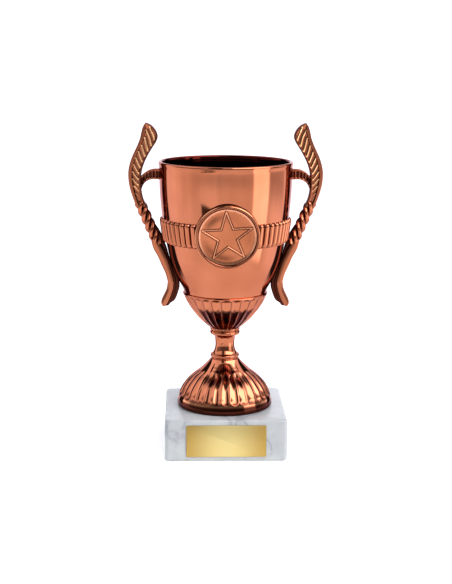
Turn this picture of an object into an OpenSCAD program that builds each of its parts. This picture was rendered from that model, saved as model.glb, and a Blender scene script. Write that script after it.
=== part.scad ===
// Cup trophy: fluted foot and calyx, reeded bowl with a star medallion, two rope handles, stone base.
// Origin at the centre of the underside of the base, +Z up, front towards -Y. Millimetres.

/* [Base] */
// width and depth of the square stone block
base_w = 60; // [56:1:80]
// height of the stone block
base_h = 21; // [18:0.5:30]
// bevel along the top and bottom edges
base_bevel = 1.2; // [0.6:0.1:2]
// radius of the four upright corners
base_corner_r = 2.4; // [1.5:0.1:4]

/* [Name plate] */
// width of the blank plate
plate_w = 39.4; // [30:0.2:46]
// height of the blank plate
plate_h = 16; // [10:0.5:16]
// thickness of the plate
plate_t = 0.45; // [0.3:0.05:1]
// thickness of the adhesive film
film_t = 0.15; // [0.1:0.05:0.3]

/* [Foot] */
// radius of the foot at its rim
foot_r = 23.9; // [22:0.1:26]
// number of flutes around the foot
foot_flutes = 32; // [24:1:36]
// depth of a flute at the rim
foot_flute_depth = 0.6; // [0.3:0.1:0.8]

/* [Calyx] */
// number of flutes around the calyx
calyx_flutes = 26; // [18:1:28]
// depth of a flute at the open end
calyx_flute_depth = 0.7; // [0.3:0.1:0.9]

/* [Bowl] */
// wall thickness of the bowl
wall = 1.8; // [1.4:0.1:2]
// number of reeds in the band
band_reeds = 58; // [40:2:64]
// radius of the grooves between the reeds
reed_groove_r = 0.55; // [0.3:0.05:0.6]

/* [Medallion] */
// outer radius of the moulded ring
ring_r = 15.5; // [14:0.1:16]
// width of the moulded ring
ring_w = 1.6; // [1.2:0.1:2]
// forward lean of the medallion
medal_tilt = 9; // [6:0.5:11]
// outer radius of the raised star
star_r = 12.6; // [10:0.1:12.8]
// height of the star's outline
star_rise = 0.35; // [0.2:0.05:0.5]

/* [Handles] */
// thickness of the leaf from front to back
leaf_t = 4.6; // [3.6:0.1:6]
// height of the ribs on the leaf
rib_rise = 0.4; // [0.2:0.05:0.6]
// number of ribs on the leaf
leaf_ribs = 8; // [4:1:9]
// thickness of the tail from front to back
tail_t = 5; // [4:0.1:6]
// radius of one strand of the rope
strand_r = 1.75; // [1.4:0.05:1.9]
// number of strands in the rope
strands = 3; // [3:1:4]
// length along the rope for one full turn of a strand
rope_pitch = 13.2; // [11:0.2:16]

/* [Fixings] */
// radius of the tie bolt
bolt_r = 2.5; // [2:0.1:2.6]
// radial clearance around the tie bolt
bolt_gap = 0.2; // [0.15:0.05:0.3]

/* [Hidden] */
$fn = 96;

// heights of the joints between the stacked pieces
foot_z = base_h;
stem_z = base_h + 24.7;
calyx_z = base_h + 38.9;
seat_z = base_h + 42.7;
floor_z = seat_z + 2;
lip_z = base_h + 123.1;
band_z0 = base_h + 83.7;
band_z1 = base_h + 95.4;
medal_z = base_h + 90.6;
medal_y = -33.1;
bore_r = bolt_r + bolt_gap;
spigot_r = 4.4;
spigot_h = 1.5;
well_r = 8.5;
well_h = 7.5;
washer_r = 6.2;
washer_t = 1;
peg_r = 1.4;
peg_in = 1.9;
pad_r = 2.2;
arm_z = base_h + 117;
arm_x = 33.2;
tail_z = base_h + 70;
tail_x = 26.6;

// smooth curve through a list of points
function spline(p, q, r, s, t) =
  0.5 * (2 * q + (r - p) * t + (2 * p - 5 * q + 4 * r - s) * t * t + (3 * q - p - 3 * r + s) * t * t * t);
function clamp_i(i, n) = max(0, min(n - 1, i));
function smooth(pts, steps) = let (n = len(pts)) concat(
  [for (i = [0:n - 2], k = [0:steps - 1])
    spline(pts[clamp_i(i - 1, n)], pts[i], pts[i + 1], pts[clamp_i(i + 2, n)], k / steps)],
  [pts[n - 1]]);
function lifted(pts, dz) = [for (p = pts) [p[0], p[1] + dz]];
function shifted(pts, dx) = [for (p = pts) [p[0] + dx, p[1]]];
function flipped(pts) = [for (i = [len(pts) - 1:-1:0]) pts[i]];

// profiles as [radius, height above the top of the base]
foot_line = [[foot_r - 0.9, 0], [foot_r - 0.15, 0.8], [foot_r, 1.8], [foot_r - 0.5, 4.6], [foot_r - 1.8, 8.2],
             [foot_r - 3.7, 11.2], [17.3, 14.3], [13.5, 17.4], [10.1, 20.4], [7.9, 22.6], [7.0, 23.7], [6.6, 24.7]];
stem_line = [[6.6, 0], [7.2, 0.5], [7.2, 1.2], [6.3, 2], [5.45, 3.4], [4.95, 5], [4.8, 6.6], [5.0, 9],
             [5.5, 10.8], [6.3, 11.6], [7.3, 12.3], [7.5, 13.1], [7.1, 13.9], [6.9, 14.2]];
calyx_line = [[7.1, 0], [7.55, 0.5], [7.9, 1], [9.5, 2.4], [11.7, 4.5], [13.7, 6.5], [15.5, 8.6],
              [17.1, 10.7], [18.9, 13.3], [20.2, 16.2], [21.1, 18.6]];
bowl_low = [[8.6, seat_z], [9.9, seat_z + 1.3], [12.1, seat_z + 3.4], [14.1, seat_z + 5.6],
            [16.1, seat_z + 8.5], [18.1, seat_z + 12], [19.4, seat_z + 15], [20.5, seat_z + 17],
            [23.0, seat_z + 21.5], [25.6, seat_z + 27.3], [27.6, seat_z + 33.5], [29.2, seat_z + 40.5]];
bowl_high = [[30.6, seat_z + 47.5], [31.6, seat_z + 54], [32.3, seat_z + 61.2], [32.7, seat_z + 68],
             [32.85, seat_z + 75], [32.9, lip_z - 0.7], [32.6, lip_z]];
bowl_line = concat(bowl_low, bowl_high);

module turned(line, inner) {
  rotate_extrude() polygon(concat(line, flipped(inner)));
}

module marble_base() {
  edge = [[-base_w / 2 + base_bevel, 0], [base_w / 2 - base_bevel, 0], [base_w / 2, base_bevel],
          [base_w / 2, base_h - base_bevel], [base_w / 2 - base_bevel, base_h],
          [-base_w / 2 + base_bevel, base_h], [-base_w / 2, base_h - base_bevel], [-base_w / 2, base_bevel]];
  inset = base_w / 2 - base_corner_r;
  color("gainsboro")
  difference() {
    intersection() {
      union() {
        translate([-inset, -base_w / 2, 0]) cube([2 * inset, base_w, base_h]);
        translate([-base_w / 2, -inset, 0]) cube([base_w, 2 * inset, base_h]);
        for (x = [-inset, inset], y = [-inset, inset])
          translate([x, y, 0]) cylinder(r = base_corner_r, h = base_h);
      }
      rotate([90, 0, 0]) linear_extrude(base_w, center = true) polygon(edge);
      rotate([90, 0, 90]) linear_extrude(base_w, center = true) polygon(edge);
    }
    translate([0, 0, -1]) cylinder(r = bolt_r + 0.5, h = base_h + 2);
    translate([0, 0, -1]) cylinder(r = well_r, h = well_h + 1);
  }
}

module name_plate() {
  color("gold")
  translate([-plate_w / 2, -base_w / 2 - film_t - plate_t, base_h / 2 - plate_h / 2])
    cube([plate_w, plate_t, plate_h]);
}

module plate_adhesive() {
  color("white")
  translate([-plate_w / 2 + 0.3, -base_w / 2 - film_t, base_h / 2 - plate_h / 2 + 0.3])
    cube([plate_w - 0.6, film_t, plate_h - 0.6]);
}

// one flute cutter that follows the bulge of the foot
module foot_flute() {
  tube_r = 3.5;
  bulge_r = 26.8 + tube_r - foot_flute_depth;
  translate([-1.4, 0, foot_z - 4.2])
    rotate([90, 0, 0])
      rotate([0, 0, 20])
        rotate_extrude(angle = 39)
          translate([bulge_r, 0]) circle(r = tube_r);
}

module foot() {
  line = smooth(lifted(foot_line, foot_z), 3);
  hollow = [[21.8, foot_z], [21.6, foot_z + 4], [19.9, foot_z + 8.4], [15.2, foot_z + 14], [9.4, foot_z + 18.6],
            [5.6, foot_z + 20.8], [bore_r, foot_z + 20.8], [bore_r, stem_z]];
  color("peru")
  difference() {
    turned(line, hollow);
    for (i = [0:foot_flutes - 1])
      rotate([0, 0, 90 + i * 360 / foot_flutes]) foot_flute();
    translate([0, 0, stem_z - spigot_h - 0.2]) cylinder(r = spigot_r + 0.1, h = spigot_h + 1);
  }
}

module stem() {
  color("peru")
  difference() {
    union() {
      turned(smooth(lifted(stem_line, stem_z), 3), [[bore_r, stem_z], [bore_r, calyx_z]]);
      for (z = [stem_z - spigot_h, calyx_z - 0.5])
        translate([0, 0, z]) cylinder(r = spigot_r, h = spigot_h + 0.5);
    }
    translate([0, 0, stem_z - 5]) cylinder(r = bore_r, h = calyx_z - stem_z + 10);
  }
}

module calyx() {
  line = smooth(lifted(calyx_line, calyx_z), 2);
  hollow = [[bore_r, calyx_z], [bore_r, seat_z], [8.9, seat_z], [10.25, seat_z + 1.3], [12.45, seat_z + 3.4],
            [14.45, seat_z + 5.6], [16.45, seat_z + 8.5], [18.45, seat_z + 12], [19.75, seat_z + 14.8]];
  top_r = 3.6;
  low_r = 1.35;
  color("peru")
  difference() {
    turned(line, hollow);
    for (i = [0:calyx_flutes - 1])
      rotate([0, 0, 90 + i * 360 / calyx_flutes]) {
        translate([8.4 + low_r, 0, calyx_z + 1.6])
          rotate([0, 43.5, 0]) cylinder(r1 = low_r, r2 = 2.7, h = 14.4);
        translate([16.9 + 3.6 - calyx_flute_depth, 0, calyx_z + 9.2])
          rotate([0, 21, 0]) cylinder(r1 = 2.7, r2 = top_r, h = 12);
      }
    translate([0, 0, calyx_z - 1]) cylinder(r = spigot_r + 0.1, h = spigot_h + 1.2);
  }
}

// puts a child on the tilted front face of the bowl
module on_medal() {
  translate([0, medal_y, medal_z]) rotate([90 + medal_tilt, 0, 0]) children();
}

module reed_band() {
  line = [[28.6, band_z0], [30.0, band_z0 + 0.1], [30.8, band_z0 + 0.8], [31.1, band_z0 + 2.2],
          [32.0, band_z1 - 3.6], [32.6, band_z1 - 1.6], [32.4, band_z1 - 0.5], [31.9, band_z1], [30, band_z1]];
  difference() {
    rotate_extrude() polygon(line);
    for (i = [0:band_reeds - 1])
      rotate([0, 0, (i + 0.5) * 360 / band_reeds])
        translate([31.1, 0, band_z0 - 1]) rotate([0, 6.5, 0]) cylinder(r = reed_groove_r, h = 14, $fn = 24);
  }
}

module bowl() {
  outer = smooth(bowl_line, 2);
  inner = concat([for (p = smooth(bowl_line, 2)) if (p[1] > floor_z + 0.4 && p[1] < lip_z - 1)
                   [p[0] - wall + (p[1] < seat_z + 14 ? -0.5 : 0), p[1]]], [[31.4, lip_z]]);
  color("peru")
  difference() {
    union() {
      rotate_extrude() polygon(concat([[0, seat_z]], outer, [[0, lip_z]]));
      reed_band();
      on_medal() translate([0, 0, -8]) cylinder(r = ring_r, h = 7.4);
      on_medal() rotate_extrude() translate([ring_r - ring_w / 2, -0.7]) circle(r = ring_w / 2);
      for (side = [0, 180]) rotate([0, 0, side]) {
        translate([arm_x - 3, 0, arm_z]) rotate([0, 90, 0]) cylinder(r = pad_r, h = 3);
        translate([tail_x - 3, 0, tail_z]) rotate([0, 90, 0]) cylinder(r = pad_r, h = 3);
      }
    }
    rotate_extrude() polygon(concat([[0, floor_z], [8.2, floor_z]], inner, [[31.4, lip_z + 1], [0, lip_z + 1]]));
    translate([0, 0, seat_z - 1]) cylinder(r = bore_r, h = 5);
    on_medal() translate([0, 0, -1.7]) cylinder(r = ring_r - ring_w, h = 6);
    for (side = [0, 180]) rotate([0, 0, side]) {
      translate([arm_x - peg_in, 0, arm_z]) rotate([0, 90, 0]) cylinder(r = peg_r + 0.05, h = 8);
      translate([tail_x - peg_in, 0, tail_z]) rotate([0, 90, 0]) cylinder(r = peg_r + 0.05, h = 8);
    }
  }
}

module star(r) {
  polygon([for (i = [0:9]) let (a = 90 + i * 36, d = i % 2 == 0 ? r : r * 0.382) [d * cos(a), d * sin(a)]]);
}

module medallion_disc() {
  disc_r = ring_r - ring_w - 0.15;
  color("peru")
  on_medal() rotate([0, 0, 3.5]) {
    translate([0, 0, -1.55]) difference() {
      cylinder(r = disc_r, h = 1);
      translate([0, 0, 0.7]) cylinder(r1 = disc_r - 1, r2 = disc_r - 0.5, h = 0.4);
    }
    translate([0, 0, -0.95]) linear_extrude(star_rise + 0.1) difference() {
      star(star_r);
      star(star_r - 1.5);
    }
  }
}

module medallion_adhesive() {
  color("white")
  on_medal() translate([0, 0, -1.7]) cylinder(r = ring_r - ring_w - 0.6, h = 0.15);
}

// leaf: outer edge going down from the tip, then the inner edge going back up
leaf_out = [[39.2, 141.8], [40.6, 140.2], [41.3, 137.2], [42.7, 132.1], [45.4, 126.3], [47.5, 120.6], [47.8, 115.6],
            [47.1, 110.6], [45.2, 104.2], [43.7, 99.6]];
leaf_in = [[38.6, 100.6], [39.2, 102.6], [40.6, 105.4], [41.3, 109.0], [40.2, 112.3], [37.9, 113.8], [34.7, 114.4],
           [33.6, 114.4]];
arm_top = [[33.6, 119.3], [36.0, 119.3], [38.7, 118.3], [41.3, 116.2], [41.0, 119.6], [39.7, 123.0], [38.0, 126.7],
           [35.8, 130.1], [34.0, 132.9], [33.1, 135.1], [33.7, 137.4], [35.0, 139.5], [36.8, 140.9], [39.2, 141.8]];
tail_out = [[36.9, 83.6], [35.6, 79.6], [33.1, 73.9], [30.5, 67.8], [29.3, 62.4], [29.8, 59.2], [31.4, 55.2],
            [32.4, 52.2], [32.0, 50.4], [30.8, 50.1]];
tail_in = [[28.4, 51.2], [25.6, 53.0], [23.5, 55.6], [22.5, 59.0], [23.2, 61.6], [25.2, 65.6], [27.0, 69.6],
           [27.6, 74.2], [28.6, 77.4], [29.7, 81.2], [31.2, 86.0], [33.2, 90.2], [36.8, 89.6]];

// an upright slab with its outline given above the top of the base
module slab(t, outline) {
  translate([0, t / 2, base_h]) rotate([90, 0, 0]) linear_extrude(t) polygon(outline);
}

module leaf() {
  outline = concat(smooth(leaf_out, 4), smooth(leaf_in, 3), smooth(arm_top, 3));
  slab(leaf_t, outline);
  intersection() {
    slab(leaf_t + 2 * rib_rise, outline);
    for (k = [0:leaf_ribs - 1])
      translate([38.4 + k * 0.9, 0, base_h + 136.5 - k * 4]) rotate([0, 48, 0])
        cylinder(r = leaf_t / 2 + rib_rise, h = 9, center = true);
  }
}

module rope() {
  length = 23.5;
  lay_r = 1.45;
  translate([41.6, 0, base_h + 101.6]) rotate([0, 180 + 24.5, 0])
    linear_extrude(length, twist = 360 * length / rope_pitch, slices = 48, $fn = 20)
      for (i = [0:strands - 1])
        rotate(i * 360 / strands) translate([lay_r, 0]) circle(r = strand_r);
}

module tail() {
  edge = smooth(tail_out, 3);
  slab(tail_t - 1.6, concat(edge, smooth(tail_in, 3)));
  slab(tail_t, concat(edge, flipped(shifted(edge, -3.4))));
}

module handle() {
  difference() {
    union() {
      leaf();
      rope();
      tail();
    }
    translate([arm_x - 5, -4, arm_z - 5]) cube([5, 8, 10]);
    translate([tail_x - 5, -pad_r - 1, tail_z - pad_r - 0.4]) cube([5, 2 * pad_r + 2, 2 * pad_r + 0.8]);
  }
  translate([arm_x - peg_in, 0, arm_z]) rotate([0, 90, 0]) cylinder(r = peg_r, h = peg_in + 2);
  translate([tail_x - peg_in, 0, tail_z]) rotate([0, 90, 0]) cylinder(r = peg_r, h = peg_in + 1.5);
}

module right_handle() {
  color("peru") handle();
}

module left_handle() {
  color("peru") mirror([1, 0, 0]) handle();
}

module tie_bolt() {
  color("silver")
  union() {
    translate([0, 0, 1.5]) cylinder(r = bolt_r, h = floor_z + washer_t);
    translate([0, 0, floor_z + washer_t]) cylinder(r = 4.6, h = 3.5, $fn = 6);
  }
}

module washer() {
  difference() {
    cylinder(r = washer_r, h = washer_t);
    translate([0, 0, -1]) cylinder(r = bore_r, h = washer_t + 2);
  }
}

module head_washer() {
  color("silver") translate([0, 0, floor_z]) washer();
}

module base_washer() {
  color("silver") translate([0, 0, well_h - washer_t]) washer();
}

module base_nut() {
  color("silver")
  translate([0, 0, well_h - washer_t - 4]) difference() {
    cylinder(r = 4.6, h = 4, $fn = 6);
    translate([0, 0, -1]) cylinder(r = bolt_r + 0.05, h = 6);
  }
}

marble_base();
name_plate();
plate_adhesive();
foot();
stem();
calyx();
bowl();
medallion_disc();
medallion_adhesive();
left_handle();
right_handle();
tie_bolt();
head_washer();
base_washer();
base_nut();
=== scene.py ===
# Bronze-plated cup with rope handles on a stone block
from math import cos, exp, hypot, pi, radians, sin, sqrt, tau
import bpy
from mathutils import Matrix, Vector


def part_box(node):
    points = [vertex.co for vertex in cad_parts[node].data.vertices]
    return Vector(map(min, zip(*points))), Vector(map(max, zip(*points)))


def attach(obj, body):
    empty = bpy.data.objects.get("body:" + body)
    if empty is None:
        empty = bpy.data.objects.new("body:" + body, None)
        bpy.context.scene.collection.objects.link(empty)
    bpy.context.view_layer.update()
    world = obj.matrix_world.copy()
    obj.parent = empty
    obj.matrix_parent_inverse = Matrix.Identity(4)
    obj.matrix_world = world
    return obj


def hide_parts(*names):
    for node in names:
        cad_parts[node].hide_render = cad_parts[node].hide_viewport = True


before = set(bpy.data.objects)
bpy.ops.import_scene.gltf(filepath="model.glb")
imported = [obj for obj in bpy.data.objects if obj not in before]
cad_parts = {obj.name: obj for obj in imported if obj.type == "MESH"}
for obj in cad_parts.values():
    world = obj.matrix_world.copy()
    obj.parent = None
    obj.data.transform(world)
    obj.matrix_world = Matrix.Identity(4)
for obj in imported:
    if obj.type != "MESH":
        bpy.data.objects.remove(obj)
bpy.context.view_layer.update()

mm = 0.001
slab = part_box("marble_base")[1].z / mm   # top of the stone, heights below are counted from it
print("frame loaded")

camera = {"distance": 635.6, "height": 204.9, "aside": 0.44, "nearest": 10, "lens": 79.9, "sensor": 36,
          "down": 11.235, "turn": -1.9, "roll": 0.31}   # millimetres and degrees


def makeCamera():
    data = bpy.data.cameras.new("viewCamera")
    data.lens = camera["lens"]
    data.sensor_width = camera["sensor"]
    data.clip_start = camera["nearest"] * mm
    eye = bpy.data.objects.new("viewCamera", data)
    bpy.context.scene.collection.objects.link(eye)
    spin = Matrix.Rotation(radians(camera["turn"]), 4, "Z")
    place = Matrix.Translation(Vector((camera["aside"], -camera["distance"], camera["height"])) * mm)
    tilt = Matrix.Rotation(radians(90 - camera["down"]), 4, "X")
    eye.matrix_world = spin @ place @ tilt @ Matrix.Rotation(radians(camera["roll"]), 4, "Z")
    bpy.context.scene.camera = eye


makeCamera()
bpy.context.scene.view_settings.view_transform = "Standard"
print("camera set")


# node expressions
class Wire:
    tree = None   # the node tree being written

    def __init__(self, socket):
        self.socket = socket

    @staticmethod
    def node(kind, settings=None, sockets=None, out=0):
        made = Wire.tree.nodes.new("ShaderNode" + kind)
        for key, value in (settings or {}).items():
            setattr(made, key, value)
        for key, value in (sockets or {}).items():
            if isinstance(value, Wire):
                Wire.tree.links.new(value.socket, made.inputs[key])
            else:
                made.inputs[key].default_value = value
        return Wire(made.outputs[out]) if made.outputs else made

    def maths(self, operation, *rest):
        return Wire.node("Math", {"operation": operation}, dict(enumerate((self, *rest))))

    def __add__(self, other):
        return self.maths("ADD", other)

    def __sub__(self, other):
        return self.maths("SUBTRACT", other)

    def __mul__(self, other):
        return self.maths("MULTIPLY", other)

    def __rsub__(self, other):
        return Wire.node("Math", {"operation": "SUBTRACT"}, {0: other, 1: self})

    __radd__ = __add__
    __rmul__ = __mul__

    def step(self, low, high):
        return Wire.node("MapRange", {"interpolation_type": "SMOOTHSTEP"},
                         {"Value": self, "From Min": low, "From Max": high})


def mixColour(factor, first, second):
    first, second = [c if isinstance(c, Wire) else (*c, 1) for c in (first, second)]
    return Wire.node("Mix", {"data_type": "RGBA"}, {0: factor, 6: first, 7: second}, out=2)


def scaled(vector, by):
    return Wire.node("VectorMath", {"operation": "MULTIPLY"}, {0: vector, 1: by})


def noise(vector, scale, detail=3.0, rough=0.5, warp=0.0):
    return Wire.node("TexNoise", None, {"Vector": vector, "Scale": scale, "Detail": detail,
                                        "Roughness": rough, "Distortion": warp})


def bump(height, strength, distance):
    return Wire.node("Bump", None, {"Height": height, "Strength": strength, "Distance": distance})


def paintedShadingMark():   # marked on the mesh: above 0 is painted shade and painted dark reflections, below 0 is a painted highlight
    return Wire.node("Attribute", {"attribute_name": "paintedShading"}, None, out=2)


def finish(name, make):
    material = bpy.data.materials.new(name)
    material.use_nodes = True
    Wire.tree = material.node_tree
    Wire.tree.nodes.clear()
    shader = Wire.node("BsdfPrincipled", None, make(Wire.node("TexCoord", out=3)))
    Wire.node("OutputMaterial", None, {"Surface": shader})
    return material


# finishes
# besides the film's two tones: a dark colour for painted shade and painted dark reflections, a pale one for painted
# highlights, and one for faces towards the axis
bronze = {"bright": (0.42, 0.137, 0.072), "deep": (0.375, 0.116, 0.058), "gloss": 0.03, "haze": 0.03,
          "ripple": 0.00003, "inside": (0.06, 0.008, 0.006), "paintedShading": (0.03, 0.005, 0.004),
          "paintedHighlight": (0.95, 0.66, 0.33), "edge": (0.8, 0.62, 0.64, 1)}


# mirror-bright film with a faint ripple: inner darkens what faces the axis, and the value after it paints shade over
# the whole piece
def platedBronze(spot, inner=0.0, wholeShade=0.0, dull=0.0):
    cloud = noise(spot, 38, 2)
    haze = noise(spot, 140, 4, 0.6)
    ripple = noise(spot, 90, 1.5)
    outward = scaled(Wire.node("NewGeometry", out=0), (1, 1, 0))
    facing = Wire.node("VectorMath", {"operation": "DOT_PRODUCT"},
                       {0: Wire.node("NewGeometry", out=1), 1: outward}, out=1)
    film = mixColour(cloud.step(0.35, 0.65), bronze["bright"], bronze["deep"])
    deep = (1 - facing.step(-0.02, -0.014)) * inner
    mark = paintedShadingMark()
    film = mixColour((mark * -1).maths("MAXIMUM", 0), film, bronze["paintedHighlight"])
    dark = mark.maths("MAXIMUM", 0) * (1 - wholeShade) + wholeShade
    film = mixColour(dark, film, bronze["paintedShading"])
    rough = bronze["gloss"] + dull + haze.step(0.3, 0.8) * bronze["haze"] + dark * bronze["haze"]
    return {"Base Color": mixColour(deep, film, bronze["inside"]), "Metallic": 1.0,
            "Specular Tint": bronze["edge"], "Roughness": rough, "Normal": bump(ripple, 0.5, bronze["ripple"])}


# besides the film's two tones: a dark colour for painted shade and a pale one for painted highlights
satin = {"bright": (0.45, 0.148, 0.072), "deep": (0.37, 0.115, 0.053), "gloss": 0.2,
         "paintedShading": (0.02, 0.005, 0.003), "paintedHighlight": (0.68, 0.36, 0.24)}


def satinBronze(spot):   # fine-grained film on the medallion
    cloud = noise(spot, 60, 3)
    grain = noise(spot, 2600, 2, 0.6)
    film = mixColour(cloud.step(0.3, 0.7), satin["bright"], satin["deep"])
    mark = paintedShadingMark()
    film = mixColour((mark * -1).maths("MAXIMUM", 0), film, satin["paintedHighlight"])
    return {"Base Color": mixColour(mark.maths("MAXIMUM", 0), film, satin["paintedShading"]), "Metallic": 1.0,
            "Roughness": satin["gloss"] + cloud * 0.12, "Normal": bump(grain, 0.12, 0.00003)}


stone = {"pale": (0.385, 0.40, 0.415), "cool": (0.315, 0.33, 0.35), "vein": (0.17, 0.185, 0.205),
         "grain": 0.33, "veining": 0.6, "drift": (0.03, 0.03, 0.03)}


def marble(spot):   # clouded grey-white stone with thin slanting veins
    drift = Wire.node("VectorMath", {"operation": "ADD"}, {0: spot, 1: scaled(noise(spot, 22, 4), stone["drift"])})
    cloud = noise(spot, 45, 6, 0.6, 0.6)
    mottle = noise(spot, 260, 4, 0.65)
    slanted = Wire.node("Mapping", None, {"Vector": drift, "Rotation": (0.5, 0.6, 0.9), "Scale": (1.0, 0.35, 1.0)})
    band = (noise(slanted, 30, 4) - 0.5).maths("ABSOLUTE")
    vein = (1 - band.step(0.0, 0.035)) * cloud.step(0.4, 0.62)
    body = mixColour(cloud.step(0.32, 0.68), stone["pale"], stone["cool"])
    body = mixColour(mottle.step(0.55, 0.8) * 0.25, body, stone["vein"])
    return {"Base Color": mixColour(vein * stone["veining"], body, stone["vein"]),
            "Roughness": stone["grain"] + mottle * 0.15, "Normal": bump(mottle, 0.08, 0.0002), "Coat Weight": 0.25}


gold = {"edge": (0.39, 0.25, 0.06), "middle": (0.60, 0.49, 0.21), "gloss": 0.36}


def goldSheet(spot):   # satin sheet with a painted reflection, paler towards the middle, brushed from side to side
    across = Wire.node("SeparateXYZ", None, {0: spot}, out=0).maths("ABSOLUTE")
    hair = noise(scaled(spot, (30, 1, 1400)), 1.0, 3, 0.7)
    shade = mixColour(across.step(0.001, 0.021), gold["middle"], gold["edge"])
    return {"Base Color": mixColour(hair * 0.22, shade, gold["edge"]), "Metallic": 0.75,
            "Roughness": gold["gloss"] + hair * 0.1, "Normal": bump(hair, 0.1, 0.00004)}


steel = {"dark": (0.52, 0.53, 0.55), "pale": (0.66, 0.66, 0.64), "gloss": 0.28}


def zincSteel(spot):
    cloud = noise(spot, 300, 4, 0.6)
    return {"Base Color": mixColour(cloud, steel["dark"], steel["pale"]), "Metallic": 1.0,
            "Roughness": steel["gloss"] + cloud * 0.2, "Normal": bump(cloud, 0.1, 0.0001)}


glue = {"pale": (0.80, 0.79, 0.72), "deep": (0.70, 0.68, 0.60), "gloss": 0.5}


def glueFilm(spot):
    cloud = noise(spot, 500, 3)
    return {"Base Color": mixColour(cloud, glue["pale"], glue["deep"]), "Roughness": glue["gloss"] + cloud * 0.2}


bronzeFinish = finish("platedBronze", platedBronze)
# the handles' faces that look towards the axis are darkened as painted shade
handleFinish = finish("platedHandle", lambda spot: platedBronze(spot, 1.0, 0.0, 0.1))
# painted shade over the whole of the tails' middle layers and webs
darkFinish = finish("shadedBronze", lambda spot: platedBronze(spot, 0.0, 0.93, 0.1))
bowlFinish = finish("platedBowl", lambda spot: platedBronze(spot, 1.0))
satinFinish = finish("satinBronze", satinBronze)
stoneFinish = finish("marble", marble)
goldFinish = finish("goldSheet", goldSheet)
steelFinish = finish("zincSteel", zincSteel)
glueFinish = finish("glueFilm", glueFilm)
print("finishes made")


# curve and mesh helpers
def through(points, steps):   # a smooth line through a few points
    line = []
    last = len(points) - 1
    for i in range(last):
        p, q, r, s = [Vector(points[min(max(i + k, 0), last)]) for k in (-1, 0, 1, 2)]
        for k in range(steps):
            t = k / steps
            line.append(0.5 * (2 * q + (r - p) * t + (2 * p - 5 * q + 4 * r - s) * t * t
                               + (3 * q - p - 3 * r + s) * t ** 3))
    line.append(Vector(points[last]))
    return line


def capped(value):   # held between 0 and 1
    return min(max(value, 0), 1)


def at(line, t):   # point at a share t of a list of points
    along = capped(t) * (len(line) - 1)
    i = min(int(along), len(line) - 2)
    return line[i].lerp(line[i + 1], along - i)


def heightValue(line, z):   # first value of a rising (value, height) line at height z
    for low, high in zip(line, line[1:]):
        if low[1] <= z <= high[1]:
            return low[0] + (high[0] - low[0]) * (z - low[1]) / max(high[1] - low[1], 1e-9)
    return line[0][0] if z < line[0][1] else line[-1][0]


# joins equal rings of points in millimetres, a fourth value at a point is its painted shading: above 0 painted shade,
# below 0 a painted highlight
def skin(name, rings, closed=False, caps=False, crease=40, material=None):
    count = len(rings[0])
    points = [Vector(p[:3]) * mm for ring in rings for p in ring]
    spans = len(rings) if closed else len(rings) - 1
    faces = []
    for i in range(spans):
        a, b = i * count, (i + 1) % len(rings) * count
        faces += [(a + j, a + (j + 1) % count, b + (j + 1) % count, b + j) for j in range(count)]
    if caps:
        faces += [tuple(reversed(range(count))), tuple(range(len(points) - count, len(points)))]
    mesh = bpy.data.meshes.new(name)
    mesh.from_pydata(points, [], faces)
    paintedShading = mesh.attributes.new("paintedShading", "FLOAT", "POINT")
    paintedShading.data.foreach_set("value", [min(max(p[3], -1), 1) if len(p) > 3 else 0 for ring in rings for p in ring])
    mesh.shade_smooth()
    mesh.set_sharp_from_angle(angle=radians(crease))
    if material:
        mesh.materials.append(material)
    piece = bpy.data.objects.new(name, mesh)
    bpy.context.scene.collection.objects.link(piece)
    return piece


def place(piece, node, slot, material=None):
    if material:
        piece.data.materials.append(material)
    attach(piece, "root")
    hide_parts(node)


def uncarved(r, z, angle):
    return r, 0


def turned(line, count, carve=uncarved):   # rings of a turned shape, carve gives the radius and the painted shading at a point
    rings = []
    for r, z in line:
        ring = []
        for j in range(count):
            a = tau * j / count - pi / 2
            deep, paintedShading = carve(r, z, a)
            ring.append((deep * cos(a), deep * sin(a), z + slab, paintedShading))
        rings.append(ring)
    return rings


def scallop(angle, count):   # -1..1 across one of a number of equal flutes, the first one centred at the front
    share = (angle + pi / 2) * count / tau
    return 2 * (share - round(share))


def bell(value, middle, width):
    return exp(-((value - middle) / width) ** 2)


def past(value, low, high, soft):   # how far a value runs into the rounded ends of a stretch
    return max(0, low + soft - value, value - high + soft) / soft


# stone block
block = {"half": 30, "bevel": 1.3, "bevelSteps": 6, "corner": 2.2, "cornerLeast": 0.3, "cornerSteps": 8,
         "sideSteps": 16,
         "bore": 3.0, "well": 8.5, "wellEdge": 0.3, "depth": 7.5}


def blockOutline(inset, steps):
    half = block["half"] - inset
    r = max(block["corner"] - inset * 0.4, block["cornerLeast"])
    ring = []
    for corner in range(4):
        middle = Matrix.Rotation(corner * pi / 2, 2) @ Vector((half - r, half - r))
        for k in range(steps + 1):
            a = corner * pi / 2 + k / steps * pi / 2
            ring.append((middle.x + r * cos(a), middle.y + r * sin(a)))
    full = []
    for here, ahead in zip(ring, ring[1:] + ring[:1]):   # the straight sides are cut up finely too
        here, ahead = Vector(here), Vector(ahead)
        parts = block["sideSteps"] if (ahead - here).length > half / 2 else 1
        full += [tuple(here.lerp(ahead, k / parts)) for k in range(parts)]
    return full


def flatRing(radius, outline):   # a circle whose points face those of an outline
    ring = []
    for x, y in outline:
        far = hypot(x, y)
        ring.append((radius * x / far, radius * y / far))
    return ring


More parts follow.
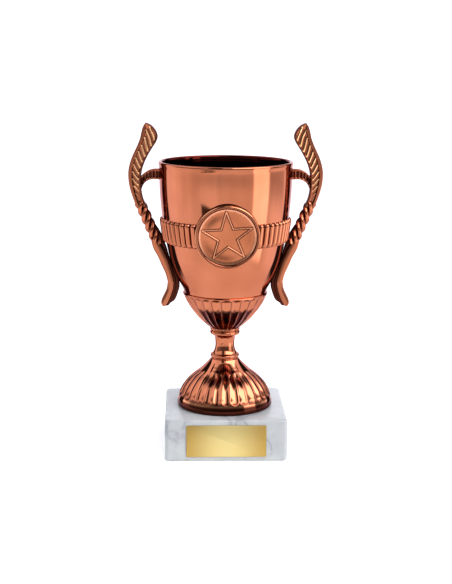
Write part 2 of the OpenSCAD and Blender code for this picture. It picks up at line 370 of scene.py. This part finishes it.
def makeBlock():
    steps, cut = block["cornerSteps"], block["bevel"]
    edge = []   # inset and height up the rounded bottom edge
    for k in range(block["bevelSteps"] + 1):
        a = k / block["bevelSteps"] * pi / 2
        edge.append((cut * (1 - sin(a)), cut * (1 - cos(a))))
    side = [[(x, y, z) for x, y in blockOutline(inset, steps)] for inset, z in edge]
    side += [[(x, y, slab - z) for x, y in blockOutline(inset, steps)] for inset, z in reversed(edge)]

    def circle(radius, z):
        return [(x, y, z) for x, y in flatRing(radius, blockOutline(0, steps))]
    inside = [circle(block["bore"], slab), circle(block["bore"], block["depth"]), circle(block["well"], block["depth"]),
              circle(block["well"], block["wellEdge"]), circle(block["well"] + block["wellEdge"], 0)]
    return skin("stoneBlock", side + inside, closed=True, crease=50)


place(makeBlock(), "marble_base", "stone", stoneFinish)


# blank plate
plate = {"fit": 0.99, "corner": 0.5, "cornerSteps": 4, "edge": ((0, 0.14), (0.06, 0.04), (0.16, 0))}   # inset, depth


def makePlate():   # thin sheet with softened edges
    low, high = [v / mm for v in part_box("name_plate")]
    middle, size = (low + high) / 2, (high - low) * plate["fit"]
    r = plate["corner"]
    rings = []
    for inset, depth in ((0, size.y),) + plate["edge"]:
        ring = []
        for sx, sz, start in ((1, 1, 0), (-1, 1, 1), (-1, -1, 2), (1, -1, 3)):
            for k in range(plate["cornerSteps"] + 1):
                a = (start + k / plate["cornerSteps"]) * pi / 2
                x = sx * (size.x / 2 - r) + (r - inset) * cos(a)
                z = sz * (size.z / 2 - r) + (r - inset) * sin(a)
                ring.append((middle.x + x, middle.y + depth - size.y / 2, middle.z + z))
        rings.append(ring)
    return skin("blankPlate", rings, caps=True, crease=35)


place(makePlate(), "name_plate", "gold_plate", goldFinish)
print("base made")


# foot
foot = {"flutes": 32, "from": 5.2, "to": 18.6, "endSoft": 2.3, "share": 0.15, "samples": 448}
# where and how strongly painted shade, painted dark reflections and a painted highlight go on the foot
footMarks = {"ends": (0.8, 0.33), "tops": (15.8, 1.9), "reflectedSpot": (19.6, 1.3), "lip": (4.6, 0.28),   # middle, width
             "rimTop": 3.5, "rimFade": 0.7, "rimDark": 0.93, "lipBright": 0.45}
footLine = [(23.1, 0), (23.7, 0.5), (23.9, 1.5), (23.75, 3.0), (23.3, 4.8), (22.2, 7.9), (20.4, 11.0), (17.4, 14.3),
            (13.6, 17.4), (10.4, 20.3), (8.4, 22.3), (7.5, 23.4), (7.1, 24.0), (6.6, 24.35), (6.5, 24.7)]
footHollow = [(2.7, 24.7), (2.7, 20.8), (5.6, 20.8), (9.4, 18.6), (15.2, 14), (19.9, 8.4), (21.6, 4), (21.8, 0)]


def footCarve(r, z, angle):
    side = scallop(angle, foot["flutes"])
    end = past(z, foot["from"], foot["to"], foot["endSoft"])
    dish = max(0, 1 - side * side * 1.06 - end * end)
    low = max(0, foot["from"] + foot["endSoft"] - z) / foot["endSoft"]
    facing = abs(sin(angle))   # 1 at the front and the back, 0 at the sides
    # painted shade at the lower ends of the flutes and on the lower band of the rim, painted dark reflections on the
    # upper flutes and high on the cone at the front and back, a painted highlight along the lip
    ends = bell(low, *footMarks["ends"]) * max(0, 1 - side * side * 1.1)
    tops = 1.3 * bell(z - sin(angle * 7), *footMarks["tops"]) * (1 - side * side * 0.5) * capped((facing - 0.72) * 6)
    reflectedSpot = bell(z - 0.5 * sin(angle * 11), *footMarks["reflectedSpot"]) * capped((facing - 0.84 + 0.06 * sin(z * 4)) * 12)
    rim = footMarks["rimDark"] * (1 - capped((z - footMarks["rimTop"]) / footMarks["rimFade"]))
    mark = max(ends, min(tops, 1), reflectedSpot, rim) - footMarks["lipBright"] * bell(z, *footMarks["lip"])
    return r - tau * r / foot["flutes"] * foot["share"] * dish, mark


def makeFoot():
    outside = turned(through(footLine, 9), foot["samples"], footCarve)
    inside = turned([Vector(p) for p in footHollow], foot["samples"])
    return skin("footShell", outside + inside, closed=True, crease=55)


place(makeFoot(), "foot", "bronze_plated", bronzeFinish)


# stem
stem = {"samples": 128, "bore": 2.7}
stemLine = [(6.5, 24.7), (7.0, 24.95), (7.25, 25.5), (7.1, 26.2), (6.3, 26.7), (5.75, 27.4), (5.2, 28.6), (4.9, 30.0),
            (4.8, 31.4), (4.9, 33.2), (5.15, 34.6), (5.6, 35.6), (6.5, 36.2), (7.3, 36.8), (7.5, 37.5), (7.35, 38.2),
            (6.9, 38.6), (6.8, 38.9)]


def makeStem():
    outside = turned(through(stemLine, 6), stem["samples"])
    inside = turned([Vector((stem["bore"], stemLine[k][1])) for k in (-1, 0)], stem["samples"])
    return skin("stemShell", outside + inside, closed=True, crease=60)


place(makeStem(), "stem", "bronze_plated", bronzeFinish)


# calyx
calyx = {"flutes": 26, "from": 39.9, "to": 57.4, "endSoft": 1.9, "share": 0.15, "samples": 520}
# where and how strongly painted shade, painted dark reflections and painted highlights go on the calyx
calyxMarks = {"tip": (56.7, 0.5), "tipDark": 0.8, "reflectionTop": 51.2, "reflectionRise": 1.3, "reflectionFade": 1.4, "ridge": 0.11,
              "ridgeDark": 0.7, "ridgeTop": 57, "ridgeBright": 0.35, "brightTop": 50.5}
calyxLine = [(6.8, 38.9), (7.3, 39.0), (7.55, 39.35), (7.5, 39.8), (7.9, 40.3), (9.4, 41.5), (11.6, 43.5), (13.6, 45.5),
             (15.3, 47.6), (16.9, 49.7), (18.7, 52.4), (20.1, 55.2), (20.95, 57.0), (21.15, 57.5), (21.1, 57.9),
             (20.8, 58.15)]
calyxHollow = [(20.3, 58.15), (19.8, 57.65), (18.25, 54.7), (16.25, 51.2), (14.25, 48.3), (12.45, 46.1), (10.25, 44.0),
               (8.9, 42.7), (2.7, 42.7), (2.7, 38.9)]


def calyxCarve(r, z, angle):
    side = scallop(angle, calyx["flutes"])
    end = past(z, calyx["from"], calyx["to"], calyx["endSoft"])
    dish = max(0, 1 - side * side - end ** 3)
    # painted shade in the flute tops and along the upper ridges, a painted dark reflection in the flutes at the front
    # and back, a painted highlight on the lower ridges
    tip = calyxMarks["tipDark"] * bell(z, *calyxMarks["tip"]) * max(0, 1 - side * side * 5)
    facing = capped((abs(sin(angle)) - 0.5) * 5)   # 1 at the front and the back, 0 at the sides
    darkReflection = capped((calyxMarks["reflectionTop"] + calyxMarks["reflectionRise"] * abs(side) - z) / calyxMarks["reflectionFade"]) * facing
    ridge = bell(abs(side), 1, calyxMarks["ridge"])
    low = capped((calyxMarks["brightTop"] - z) / 2)
    upper = calyxMarks["ridgeDark"] * ridge * (1 - low) if z < calyxMarks["ridgeTop"] else 0
    mark = max(tip, darkReflection * (1 - ridge) if z > calyx["from"] else 0, upper) - calyxMarks["ridgeBright"] * ridge * low
    return r - tau * r / calyx["flutes"] * calyx["share"] * dish, mark


def makeCalyx():
    outside = turned(through(calyxLine, 9), calyx["samples"], calyxCarve)
    inside = turned([Vector(p) for p in calyxHollow], calyx["samples"])
    return skin("calyxShell", outside + inside, closed=True, crease=55)


place(makeCalyx(), "calyx", "bronze_plated", bronzeFinish)
print("foot, stem and calyx made")


# medallion ring and disc, built flat and then leant onto the front of the bowl
medal = {"radius": 15.5, "rim": 1.55, "lean": 9, "up": 90.1, "forward": 33.1, "turn": 3.5, "starRadius": 12.5,
         "starInner": 4.75, "ridge": 0.42, "rise": 0.34, "dish": 0.85, "gap": 0.12, "under": -1.55, "sectors": 360,
         "discSteps": 150}
medal["edge"] = medal["radius"] - medal["rim"] - medal["gap"]   # radius of the disc
leanTurn = Matrix.Rotation(radians(90 + medal["lean"]), 4, "X")
leanBack = Matrix.Translation((0, -medal["forward"], medal["up"] + slab)) @ leanTurn
leanUp = leanBack.inverted()


# bowl
bowl = {"wall": 1.6, "reeds": 58, "reedRise": 1.45, "reedFrom": 83.5, "reedTo": 95.6, "endSoft": 1.9, "samples": 812,
        "shadowFrom": 58.5, "shadowDark": 0.93}
bowlOuter = [(8.6, 42.7), (9.9, 44), (12.1, 46.1), (14.1, 48.3), (16.1, 51.2), (18.1, 54.7), (20.3, 57.7), (21.3, 60.4),
             (23.2, 64.2), (25.4, 69.2), (27.4, 75.0), (29.0, 81.5), (30.0, 86.5), (31.0, 93.0), (31.6, 97.5),
             (32.1, 102.3),
             (32.5, 107.5), (32.75, 113.2), (32.85, 119.0), (32.9, 120.4), (33.0, 121.2), (33.1, 122.0), (33.05, 122.6),
             (32.8, 123.0), (32.4, 123.15)]
bowlLine = through(bowlOuter, 6)
bowlLip = [(31.8, 123.1), (31.45, 122.85), (31.3, 122.3)]
bowlFloor = [(8.3, 44.75), (2.7, 44.7), (2.7, 42.7)]


def bowlCarve(r, z, angle):
    side = scallop(angle, bowl["reeds"])
    end = past(z, bowl["reedFrom"], bowl["reedTo"], bowl["endSoft"])
    rise = max(0, 1 - (side / 0.92) ** 2 - end * end)
    # painted shading: a painted shadow on the bowl beside the tails and painted shade in the gaps between the reeds
    beside = capped((abs(cos(angle)) - 0.925) * 50)   # 1 next to the tails
    shadow = beside * bowl["shadowDark"] if bowl["shadowFrom"] < z < bowl["reedFrom"] else 0
    near = 1 if bowl["reedFrom"] < z < bowl["reedTo"] else 0
    if near and abs(angle + pi / 2) < 0.6:   # the band stops at the medallion
        spot = leanUp @ Vector((r * cos(angle), r * sin(angle), z + slab))
        if hypot(spot.x, spot.y) < medal["radius"] - 0.3:
            # painted shade on the bowl behind the medallion
            return r, 0.6
    groove = near * bell(rise, 0, 0.22) * min(max(abs(side) - 0.5, 0) * 3, 0.95)
    return r + bowl["reedRise"] * sqrt(rise), max(shadow, groove)


def makeBowl():
    fine = []
    for low, high in zip(bowlLine, bowlLine[1:]):
        parts = 3 if bowl["reedFrom"] - 1 < low.y < bowl["reedTo"] + 1 else 1
        fine += [low.lerp(high, k / parts) for k in range(parts)]
    fine.append(bowlLine[-1])
    outside = turned(fine, bowl["samples"], bowlCarve)
    wall = [p - Vector((bowl["wall"] + (0.5 if p.y < 57 else 0), 0)) for p in bowlLine[::3] if 45.2 < p.y < 121]
    lip, floor = [[Vector(p) for p in line] for line in (bowlLip, bowlFloor)]
    inside = turned(lip + wall[::-1] + floor, bowl["samples"])
    return skin("bowlShell", outside + inside, closed=True, crease=50)


place(makeBowl(), "bowl", "bronze_plated", bowlFinish)


def bowlSurface(x, y):   # local depth at which the wall of the bowl lies behind a point of the ring
    low, high = -14.0, -1.0
    for _ in range(24):
        depth = (low + high) / 2
        spot = leanBack @ Vector((x, y, depth))
        outside = hypot(spot.x, spot.y) > heightValue(bowlLine, spot.z - slab) - 0.7
        low, high = (low, depth) if outside else (depth, high)
    return high


def makeRing():
    out, rim = medal["radius"], medal["rim"]
    profile = [(out - 0.15, None), (out - 0.12, -2.6), (out - 0.1, -1.6), (out + 0.02, -1.15), (out + 0.05, -0.75),
               (out - 0.02, -0.4), (out - 0.22, -0.12), (out - 0.5, 0.03), (out - 0.8, 0.05), (out - 1.1, -0.05),
               (out - 1.35, -0.27), (out - rim + 0.04, -0.6), (out - rim, -0.95), (out - rim, -1.7)]
    rings = []
    for r, h in profile:
        ring = []
        for j in range(medal["sectors"]):
            a = tau * j / medal["sectors"]
            x, y = r * cos(a), r * sin(a)
            spot = leanBack @ Vector((x, y, bowlSurface(x, y) if h is None else h))
            # painted shading: painted shade on the side wall and the inner step, half shade on the crown, a faint
            # painted highlight on the rounded edges
            crown = 0.5 if out - 1.4 < r < out - 0.35 else -0.2
            ring.append((*spot, 0.9 if h is None or h < -1.3 else crown))
        rings.append(ring)
    return skin("medallionRing", rings, crease=60)


place(makeRing(), "bowl", "bronze_plated", bronzeFinish)

starCorners = []
for k in range(10):
    reach = medal["starRadius"] if k % 2 == 0 else medal["starInner"]
    turn = pi / 2 + k * pi / 5 + radians(medal["turn"])
    starCorners.append(Vector((reach * cos(turn), reach * sin(turn))))


def toStar(point):   # distance to the star's outline
    best = 99
    for a, b in zip(starCorners, starCorners[1:] + starCorners[:1]):
        along = b - a
        t = capped((point - a).dot(along) / along.length_squared)
        best = min(best, (point - a - along * t).length)
    return best


def discHeight(x, y):   # height and painted shading
    r = hypot(x, y)
    edge = medal["edge"]
    cove = max(0, (r - edge + 1.9) / 1.9)
    field = -medal["dish"] - 0.15 + 0.62 * cove * cove * (1 - 0.3 * cove ** 4)
    away = toStar(Vector((x, y)))
    near = min(away / medal["ridge"], 1)
    # painted shade beside the star's ridge, at the disc's edge and in a band on the dished field; painted highlights on
    # the ridge and on the rolled rim
    spread = (0.55 + 0.45 * sin(5 * (y / 14) + 2.2 * x / 14)) * (1 - 0.75 * capped(x / 8))
    shade = 0.62 * bell(r, 10.4, 1.8) * spread * min(away, 1)
    dark = max(bell(away, medal["ridge"] * 1.2, 0.2) * 1.1, bell(edge - r, 0, 0.12), shade)
    discHighlight = 0.5 * bell(away, 0, 0.2) + 0.6 * bell(edge - r, 0.55, 0.4)
    return field + medal["rise"] * (1 - near * near) ** 1.5, dark - discHighlight


def makeDisc():
    edge, sectors = medal["edge"], medal["sectors"]
    rings = []
    for k in range(1, medal["discSteps"] + 1):
        r = edge * k / medal["discSteps"]
        ring = []
        for j in range(sectors):
            a = tau * j / sectors
            height, paintedShading = discHeight(r * cos(a), r * sin(a))
            ring.append((*(leanBack @ Vector((r * cos(a), r * sin(a), height))), paintedShading))
        rings.append(ring)
    rings.append([leanBack @ Vector((edge * cos(tau * j / sectors), edge * sin(tau * j / sectors), medal["under"]))
                  for j in range(sectors)])
    return skin("medallionDisc", rings, caps=True, crease=45)


place(makeDisc(), "medallion_disc", "bronze_satin", satinFinish)
print("bowl and medallion made")


# handles
leaf = {"thick": 2.35, "border": 0.95, "recess": 0.5, "ribRise": 0.35, "ribGap": 3.6, "ribSlant": 1.6,
        "outerBorder": 1.9,
        "steps": 340, "across": 46}
leafOuter = [(39.3, 141.7), (40.3, 140.2), (41.0, 138.3), (41.5, 136.2), (42.0, 134.1), (43.2, 131.0), (44.5, 128.2),
             (45.9, 125.2), (47.0, 122.0), (47.7, 118.8), (47.85, 115.5), (47.5, 111.8), (46.6, 108.0), (45.6, 105.0),
             (44.6, 102.2), (43.7, 99.8)]
leafInner = [(38.9, 141.8), (36.8, 140.9), (35.0, 139.3), (33.7, 137.2), (33.2, 134.9), (34.0, 132.5), (35.7, 129.8),
             (37.7, 126.5), (39.5, 122.9), (40.8, 119.3), (41.4, 115.9), (41.5, 112.6), (41.3, 109.3), (40.8, 106.2),
             (40.0, 103.6), (38.7, 100.9)]
slabEdge = {"round": 0.4, "roundShare": 0.3, "depth": 0.35}   # how the edges of the handles' flat parts are rounded


# one closed section between two edge points, same relief front and back
def slabRing(inner, outer, thick, relief, across):
    front, back = [], []
    width = (outer - inner).length
    soft = min(slabEdge["round"], width * slabEdge["roundShare"])
    for j in range(across + 1):
        w = 0.5 - 0.5 * cos(pi * j / across)
        spot = inner.lerp(outer, w)
        gap = min(w, 1 - w) * width
        shoulder = sqrt(max(0, 1 - (1 - min(gap / soft, 1)) ** 2))
        loss, paintedShading = relief(w, width)
        depth = (thick - loss) * (slabEdge["depth"] + (1 - slabEdge["depth"]) * shoulder)
        front.append((spot.x, -depth, spot.y + slab, paintedShading))
        back.append((spot.x, depth, spot.y + slab, paintedShading))
    return front + back[::-1]


def makeLeaf():
    outer, inner = through(leafOuter, 12), through(leafInner, 12)
    rings = []
    travelled = 0
    before = None
    for k in range(leaf["steps"] + 1):
        t = k / leaf["steps"]
        a, b = at(inner, t), at(outer, t)
        middle = (a + b) / 2
        travelled += (middle - before).length if before else 0
        before = middle
        tipFade = min(1, travelled / 3) * min(1, (1 - t) * 12)
        ribFade = capped((0.86 - t) * 8)

        def relief(w, width):
            fromOuter = (1 - w) * width
            inset = min(w * width - leaf["border"], fromOuter - leaf["outerBorder"] * min(1, width / 6))
            hollow = capped(inset / 0.4)
            phase = (travelled - leaf["ribSlant"] * fromOuter) / leaf["ribGap"]
            share = phase - round(phase)
            rib = bell(share, 0, 0.12) * ribFade
            # painted shading: painted highlights on the ribs, painted shade just beside them, along the inner edge and
            # round the rim of the recess
            shade = hollow * (0.08 - 1.05 * rib + 0.4 * ribFade * bell(share, 0.22, 0.08))
            mark = max(bell(inset, 0, 0.17) * 0.7, bell(w * width, 0, 0.75))
            return hollow * (leaf["recess"] - leaf["ribRise"] * rib) * tipFade, mark if mark > 0.3 else shade
        rings.append(slabRing(a, b, leaf["thick"], relief, leaf["across"]))
    return rings


arm = {"thick": 2.1, "border": 0.75, "recess": 0.6, "ribRise": 0.5, "ribGap": 1.75, "steps": 90, "across": 22}
armTop = [(32.4, 119.4), (35.0, 119.4), (37.2, 118.9), (39.4, 117.7), (41.4, 115.9), (43.6, 113.2)]
armLow = [(32.4, 114.0), (34.8, 114.2), (37.0, 114.0), (39.0, 113.0), (40.6, 111.0), (42.0, 107.0)]


def makeArm():
    top, low = through(armTop, 10), through(armLow, 10)
    rings = []
    travelled = 0
    before = None
    for k in range(arm["steps"] + 1):
        t = k / arm["steps"]
        a, b = at(low, t), at(top, t)
        middle = (a + b) / 2
        travelled += (middle - before).length if before else 0
        before = middle

        def relief(w, width):
            edge = min(w, 1 - w) * width
            hollow = capped((edge - arm["border"]) / 0.4)
            share = travelled / arm["ribGap"] - round(travelled / arm["ribGap"])
            rib = bell(share, 0, 0.22)
            # painted shade in the recess, less on the ribs, half shade on the borders
            mark = max(hollow * (0.9 - 0.5 * rib), 0.45 if edge > 0.35 else 0.0)
            return hollow * (arm["recess"] - arm["ribRise"] * rib), mark
        rings.append(slabRing(a, b, arm["thick"], relief, arm["across"]))
    return rings


rope = {"strands": 3, "strandRadius": 1.62, "layRadius": 1.34, "pitch": 13.2, "start": 0.5, "steps": 200, "around": 96}
ropeLine = [(42.3, 103.2), (41.5, 100.9), (40.1, 97.8), (38.4, 93.9), (36.7, 90.0), (35.0, 86.1), (33.6, 82.9),
            (33.1, 81.8)]


def ropeRadius(angle):   # outer edge of the bundle of round strands
    step = tau / rope["strands"]
    side = angle - round(angle / step) * step
    reach = rope["strandRadius"] ** 2 - (rope["layRadius"] * sin(side)) ** 2
    return rope["layRadius"] * cos(side) + sqrt(max(reach, 0))


rope["least"] = ropeRadius(pi / rope["strands"])


def makeRope():
    line = through(ropeLine, 16)
    rings = []
    travelled = 0
    for k in range(rope["steps"] + 1):
        t = k / rope["steps"]
        here, ahead, behind = at(line, t), at(line, t + 0.01), at(line, t - 0.01)
        along = (ahead - behind).normalized()
        travelled += (here - at(line, t - 1 / rope["steps"])).length
        shrink = min(1, 0.72 + t * 6, 0.72 + (1 - t) * 6)
        ring = []
        for j in range(rope["around"]):
            a = tau * j / rope["around"]
            r = ropeRadius(a - rope["start"] + tau * travelled / rope["pitch"]) * shrink
            side = Vector((-along.y, along.x)) * r * cos(a)
            groove = 1 - (r / shrink - rope["least"]) / (rope["strandRadius"] + rope["layRadius"] - rope["least"])
            # painted shade in the grooves between the strands and on the side towards the bowl
            paintedShading = groove ** 2.2 * 0.95 + 0.7 * max(0, -cos(a) - 0.3)
            ring.append((here.x + side.x, -r * sin(a), here.y + side.y + slab, paintedShading))
        rings.append(ring)
    return rings


tail = {"steps": 120, "across": 20, "top": (2.3, 0.3), "middle": (1.75, 0.2), "web": (1.2, 0.2)}   # thickness, crown
tailEdge = [(36.9, 84.6), (36.6, 83.0), (36.1, 81.0), (35.2, 78.8), (33.5, 75.8), (31.7, 71.6), (29.9, 67.6),
            (28.9, 64.0), (28.8, 62.6), (29.3, 59.5), (30.6, 56.6), (31.7, 54.2), (32.0, 52.4), (31.5, 51.0)]
tailStrip = [(34.0, 84.4), (32.4, 82.4), (31.1, 80.4), (29.8, 77.6), (28.4, 74.4), (26.9, 69.8), (25.9, 66.0),
             (25.4, 63.1), (25.5, 61.2), (25.9, 59.2), (27.1, 55.8), (28.4, 52.9), (29.5, 51.2), (30.8, 50.4)]
tailMiddle = [(33.0, 84.4), (31.4, 82.2), (30.2, 80.2), (28.9, 77.4), (27.4, 74.2), (25.9, 69.6), (24.7, 65.6),
              (24.3, 62.6), (24.4, 60.4), (24.9, 58.2), (25.8, 55.4), (26.9, 53.1), (27.7, 51.7), (28.5, 50.9)]
tailBack = [(30.2, 84.0), (29.7, 82.2), (29.0, 80.2), (28.15, 77.2), (26.95, 73.6), (25.0, 69.2), (23.3, 65.2),
            (22.7, 62.4), (22.7, 60.6), (23.2, 58.6), (23.9, 56.4), (24.6, 54.7), (25.2, 53.8), (25.9, 53.2)]


def makeTailLayer(outerPoints, innerPoints, thick, crown):
    outer, inner = through(outerPoints, 10), through(innerPoints, 10)
    rings = []
    for k in range(tail["steps"] + 1):
        t = k / tail["steps"]
        close = sqrt(max(0.02, 1 - max(0, (t - 0.94) / 0.06) ** 2))

        def relief(w, width):
            # painted shade along the inner edge and in a thin line just inside it, stronger towards the end
            mark = max(bell(w * width, 0, 0.3), bell(w * width, 1.0, 0.14) * 0.7 * t) * 0.8
            return thick * (1 - close) - crown * sin(pi * w) * close, mark
        a, b = at(inner, t), at(outer, t)
        middle = (a + b) / 2
        keep = 0.6 + 0.4 * close   # the end narrows as it closes
        rings.append(slabRing(middle.lerp(a, keep), middle.lerp(b, keep), thick, relief, tail["across"]))
    return rings


def joinRings(name, groups, mirror):
    meshes = []
    for i, (rings, material) in enumerate(groups):
        if mirror:
            rings = [[(-p[0], *p[1:]) for p in ring][::-1] for ring in rings]
        meshes.append(skin(f"{name}{i}", rings, caps=True, crease=50, material=material))
    with bpy.context.temp_override(active_object=meshes[0], selected_editable_objects=meshes):
        bpy.ops.object.join()
    meshes[0].name = name
    return meshes[0]


tailMid = [tuple((Vector(a) + Vector(b)) / 2) for a, b in zip(tailEdge, tailStrip)]
webStrip = [(37.0, 91.6), (36.1, 89.0), (35.1, 86.6)] + tailStrip
webBack = [(34.4, 91.8), (32.7, 89.2), (31.3, 86.6)] + tailBack
handleGroups = [(makeLeaf(), handleFinish), (makeArm(), handleFinish), (makeRope(), handleFinish),
                (makeTailLayer(tailEdge, tailStrip, *tail["top"]), handleFinish),
                (makeTailLayer(tailMid, tailMiddle, *tail["middle"]), darkFinish),
                (makeTailLayer(webStrip, webBack, *tail["web"]), darkFinish)]
for side, name in ((1, "right_handle"), (-1, "left_handle")):
    label = name.split("_")[0] + "Handle"
    place(joinRings(label, handleGroups, side < 0), name, "bronze_plated")
print("handles made")


# the CAD nodes that are shown as they are
carried = {"plate_adhesive": glueFinish, "medallion_adhesive": glueFinish, "tie_bolt": steelFinish,
           "head_washer": steelFinish, "base_washer": steelFinish, "base_nut": steelFinish}
for name, material in carried.items():
    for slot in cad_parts[name].material_slots:
        slot.material = material


# studio
studio = {"floorRadius": 0.21, "floorGlow": 0.3, "front": 1.65, "back": 2.0,   # turns and rises are in degrees
          "window": {"turn": (47, 78), "rise": (-32, 18), "light": 2.2},
          "softbox": {"turn": (12, 95), "rise": (26, 60), "light": 5.0},
          "highCard": {"turn": (-36, -8), "rise": (24, 62), "dark": 0.92},
          "smudge": {"turn": (-38, -9), "rise": (-17.5, -12), "dark": 0.93},
          "sideCard": {"turn": (80, 118), "dark": 0.4}, "backCard": {"turn": (124, 147), "dark": 0.985},
          "backDark": 0.28, "topDark": 0.93, "cold": (0.02, 0.1)}


def makeFloor():   # open under the stone, so the underside can be looked at
    outline = blockOutline(1.0, 4)
    rings = [[(x, y, 0) for x, y in outline]]
    for share in (0.25, 0.4, 0.6, 0.8, 1.0):
        rings.append([(x, y, 0) for x, y in flatRing(share * studio["floorRadius"] / mm, outline)])
    floor = skin("studioFloor", rings)
    floor.data.materials.append(finish("paperFloor", lambda spot: {
        "Base Color": mixColour(noise(spot, 30, 2) * 0.2, (0.93, 0.93, 0.93), (0.9, 0.9, 0.9)), "Roughness": 0.9,
        "Emission Color": (1, 1, 1, 1), "Emission Strength": studio["floorGlow"],
        "Alpha": 1 - Wire.node("VectorMath", {"operation": "LENGTH"}, {0: spot}, out=1).step(0.12, 0.2)}))


def between(value, low, high, soft):
    return value.step(low - soft, low + soft) * (1 - value.step(high - soft, high + soft))


def makeStudioLight():
    world = bpy.data.worlds.new("studio")
    bpy.context.scene.world = world
    world.use_nodes = True
    Wire.tree = world.node_tree
    Wire.tree.nodes.clear()
    way = Wire.node("TexCoord", out=0)
    x, y, z = [Wire.node("SeparateXYZ", None, {0: way}, out=k) for k in range(3)]
    turn = x.maths("ARCTAN2", y * -1) * (180 / pi)   # 0 in front, 90 on the right, 180 behind
    rise = z.maths("ARCSINE") * (180 / pi)
    around = turn.maths("ABSOLUTE")
    cloud = noise(way, 2.2, 3, 0.55)
    window, softbox, highCard, smudge, sideCard, backCard = [studio[part] for part in (
        "window", "softbox", "highCard", "smudge", "sideCard", "backCard")]
    below = 1 - rise.step(20, 27)   # the dark band in front ends here
    light = (around.step(70, 100) * (studio["back"] - studio["front"]) + studio["front"]) * (cloud * 0.5 + 0.75)
    light = light * (1 - (1 - around.step(25, 75)) * rise.step(-13, -4) * below * 0.5)
    light = light * (1 - (1 - around.step(90, 115)) * rise.step(-8.5, -1) * below * 0.75)
    light = light * (1 - between(turn, *highCard["turn"], 3) * between(rise, *highCard["rise"], 3) * highCard["dark"])
    ragged = between(turn + cloud * 22, *smudge["turn"], 3) * between(rise + cloud * 9, *smudge["rise"], 0.9)
    light = light * (1 - ragged * smudge["dark"])
    edges = rise.step(-17, -7) * (1 - rise.step(14, 20))
    light = light * (1 - between(turn, *sideCard["turn"], 4) * edges * sideCard["dark"])
    light = light + between(turn, *window["turn"], 2) * between(rise, *window["rise"], 4) * window["light"]
    light = light + between(turn, *softbox["turn"], 3) * between(rise, *softbox["rise"], 3) * softbox["light"]
    light = light * (1 - rise.step(60, 68) * studio["topDark"])
    light = light * (1 - between(around, *backCard["turn"], 2) * (1 - rise.step(60, 75)) * backCard["dark"])
    light = light * (1 - around.step(146, 149) * studio["backDark"])
    cold = around.step(50, 120)
    green, blue = [light * (cold * by + 1) for by in studio["cold"]]
    shade = Wire.node("CombineColor", None, {0: light, 1: green, 2: blue})
    Wire.node("OutputWorld", None, {"Surface": Wire.node("Background", None, {"Color": shade, "Strength": 1.0})})


makeFloor()
makeStudioLight()
print("studio made")
